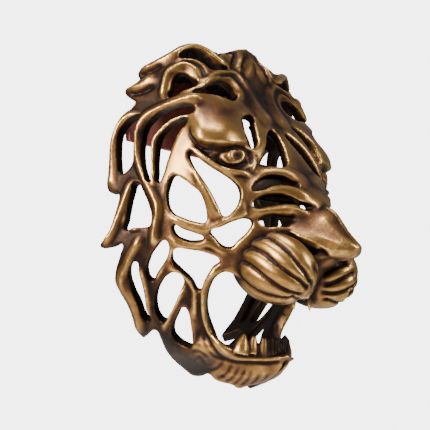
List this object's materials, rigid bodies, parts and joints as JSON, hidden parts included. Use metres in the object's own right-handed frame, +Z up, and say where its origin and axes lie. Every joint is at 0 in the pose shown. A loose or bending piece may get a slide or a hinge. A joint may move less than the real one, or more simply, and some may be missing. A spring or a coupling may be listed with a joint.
{
  "type": "lion wall sculpture",
  "caption": "Hollow openwork lion head with bared teeth, whisker pads and a pierced mane, cast in one piece with a flat hanging plate across its back.",
  "frame": {"origin": "middle of the flat back rim over the crown, where the sculpture rests against the wall", "axes": "+Z up, -Y forward out of the wall through the nose, +X to the right as seen from in front"},
  "size_m": [0.1508, 0.1217, 0.1988],
  "materials": {
    "antique_gold": "antique gold with dark patina in the hollows and worn bright ridges",
    "red_brown_plate": "dull red-brown primer"
  },
  "bodies": {
    "root": {"lion_mask": "antique_gold", "hanging_plate": "red_brown_plate"}
  },
  "joints": []
}
